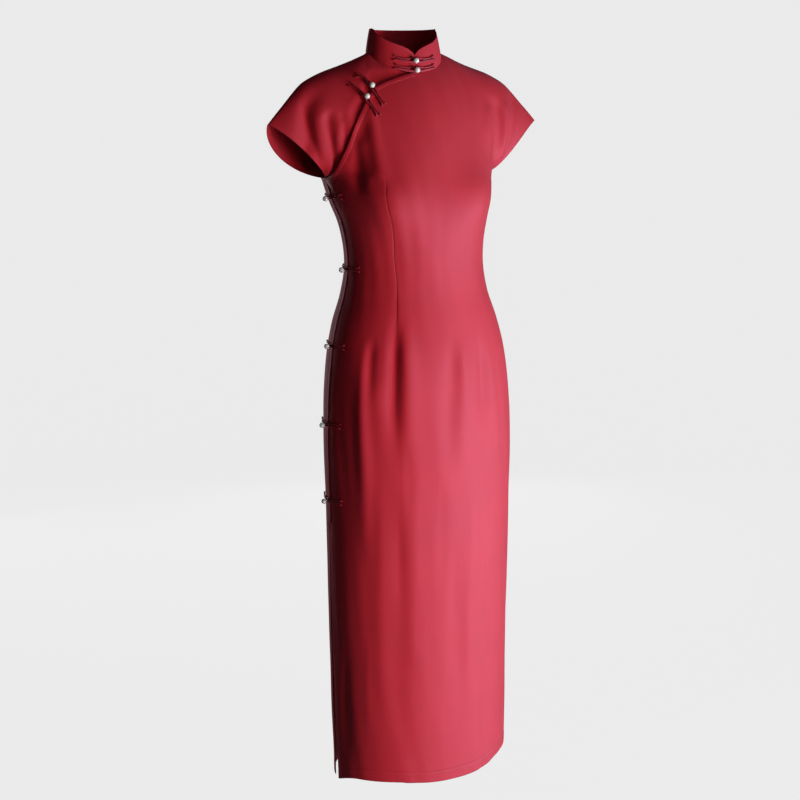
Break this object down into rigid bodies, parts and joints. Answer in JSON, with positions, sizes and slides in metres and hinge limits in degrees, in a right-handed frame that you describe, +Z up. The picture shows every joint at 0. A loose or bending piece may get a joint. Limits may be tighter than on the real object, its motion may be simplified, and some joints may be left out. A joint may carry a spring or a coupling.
{
  "type": "cheongsam dress",
  "caption": "Worn, hollow cheongsam: stand collar, cap sleeves, right-hand overlap with bound edge, corded frogs with pearl buttons, shaped waist and long side slits.",
  "frame": {"origin": "midway between the two side neck points, where the shoulders carry the dress", "axes": "+Z up along the dress, -Y out of the front of the dress, +X towards the wearer's left"},
  "size_m": [0.5216, 0.2792, 1.3709],
  "materials": {
    "cloth": "red crepe with a soft satin sheen",
    "binding": "bias binding of the same red cloth, pressed flat",
    "cord": "cord covered in the same red cloth",
    "pearl": "off-white imitation pearl, polished"
  },
  "bodies": {
    "root": {"front_panel": "cloth", "back_panel": "cloth", "underlap_front": "cloth", "collar": "cloth", "overlap_binding": "binding", "frog_collar_1_loop": "cord", "frog_collar_1_base": "cord", "pearl_collar_1": "pearl", "frog_collar_2_loop": "cord", "frog_collar_2_base": "cord", "pearl_collar_2": "pearl", "frog_chest_1_loop": "cord", "frog_chest_1_base": "cord", "pearl_chest_1": "pearl", "frog_chest_2_loop": "cord", "frog_chest_2_base": "cord", "pearl_chest_2": "pearl", "frog_side_1_loop": "cord", "frog_side_1_base": "cord", "pearl_side_1": "pearl", "frog_side_2_loop": "cord", "frog_side_2_base": "cord", "pearl_side_2": "pearl", "frog_side_3_loop": "cord", "frog_side_3_base": "cord", "pearl_side_3": "pearl", "frog_side_4_loop": "cord", "frog_side_4_base": "cord", "pearl_side_4": "pearl", "frog_side_5_loop": "cord", "frog_side_5_base": "cord", "pearl_side_5": "pearl"}
  },
  "joints": []
}
